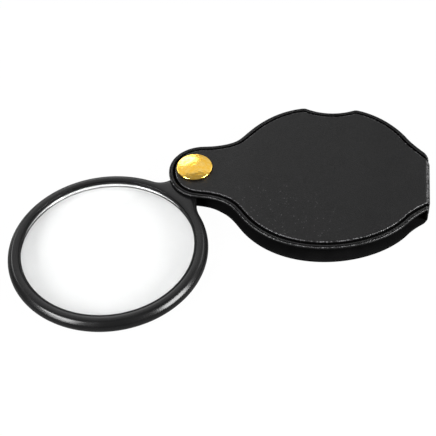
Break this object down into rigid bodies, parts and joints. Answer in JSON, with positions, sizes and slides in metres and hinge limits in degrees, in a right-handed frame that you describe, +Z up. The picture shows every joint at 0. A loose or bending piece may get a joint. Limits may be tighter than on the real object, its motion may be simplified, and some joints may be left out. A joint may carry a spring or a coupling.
{
  "type": "folding pocket magnifier",
  "caption": "Round lens in a moulded ring that swings on a rivet out of a flat leatherette sleeve, folded at one end and open along both sides.",
  "frame": {"origin": "centre of the lower rivet cap's flat underside, on the pivot axis and level with the sleeve's underside", "axes": "+X along the sleeve from the rivet to the fold, +Z up along the pivot axis, towards the domed rivet cap"},
  "size_m": [0.1185, 0.0872, 0.0077],
  "materials": {
    "leatherette": "fine grain, satin black",
    "lining_sheet": "smooth matt black sheet",
    "grey_board": "raw pulp board",
    "black_plastic": "satin moulded",
    "ring_plastic": "smooth",
    "clear_glass": "polished",
    "washer_plastic": "natural nylon",
    "gilt_brass": "polished gilt",
    "plain_brass": "drawn, unpolished"
  },
  "bodies": {
    "sleeve": {"case_skin": "leatherette", "case_lining": "lining_sheet", "upper_stiffener": "grey_board", "lower_stiffener": "grey_board", "upper_washer": "washer_plastic", "lower_washer": "washer_plastic", "rivet_cap": "gilt_brass", "rivet_base": "gilt_brass", "rivet_socket": "plain_brass", "rivet_post": "plain_brass"},
    "lens_arm": {"lens_frame": "black_plastic", "lens_retainer": "ring_plastic", "lens": "clear_glass"}
  },
  "joints": [
    {"name": "lens_pivot", "type": "hinge", "parent": "sleeve", "child": "lens_arm", "pos_m": [0, 0, 0.0033], "axis": [0, 0, 1], "continuous": true}
  ]
}
